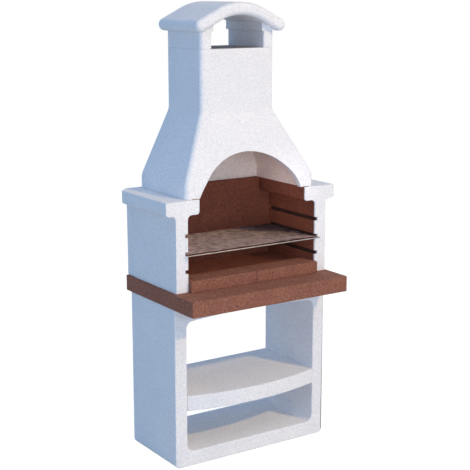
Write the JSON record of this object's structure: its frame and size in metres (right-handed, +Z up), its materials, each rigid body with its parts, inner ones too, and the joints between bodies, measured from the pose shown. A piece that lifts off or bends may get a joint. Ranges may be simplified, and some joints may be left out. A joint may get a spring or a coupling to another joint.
{
  "type": "outdoor masonry barbecue",
  "caption": "Free-standing outdoor masonry barbecue: open base with shelf, worktop, lined firebox with sliding grate, arched hood and vaulted chimney.",
  "frame": {"origin": "ground level, in the middle of the object's plan", "axes": "+Z up, -Y towards the cook at the front, +X to the right as the cook sees it"},
  "size_m": [0.88, 0.574, 1.9929],
  "materials": {
    "white_concrete": "cast, painted white, fine grit",
    "brown_refractory": "matt, pressed",
    "firebox_lining": "matt, cast",
    "chromed_wire": "bright plated"
  },
  "bodies": {
    "masonry": {"base_frame": "white_concrete", "lower_shelf": "white_concrete", "worktop_slab": "brown_refractory", "left_side_wall": "white_concrete", "right_side_wall": "white_concrete", "back_wall": "white_concrete", "left_lining": "firebox_lining", "right_lining": "firebox_lining", "back_lining": "firebox_lining", "left_hearth_tile": "firebox_lining", "right_hearth_tile": "firebox_lining", "left_front_brick": "brown_refractory", "right_front_brick": "brown_refractory", "chimney_hood": "white_concrete", "left_chimney_pier": "white_concrete", "right_chimney_pier": "white_concrete", "chimney_roof": "white_concrete"},
    "grate": {"cooking_grate": "chromed_wire"}
  },
  "joints": [
    {"name": "grate_slide", "type": "slide", "parent": "masonry", "child": "grate", "axis": [0, -1, 0], "range_m": [0, 0.25]}
  ]
}
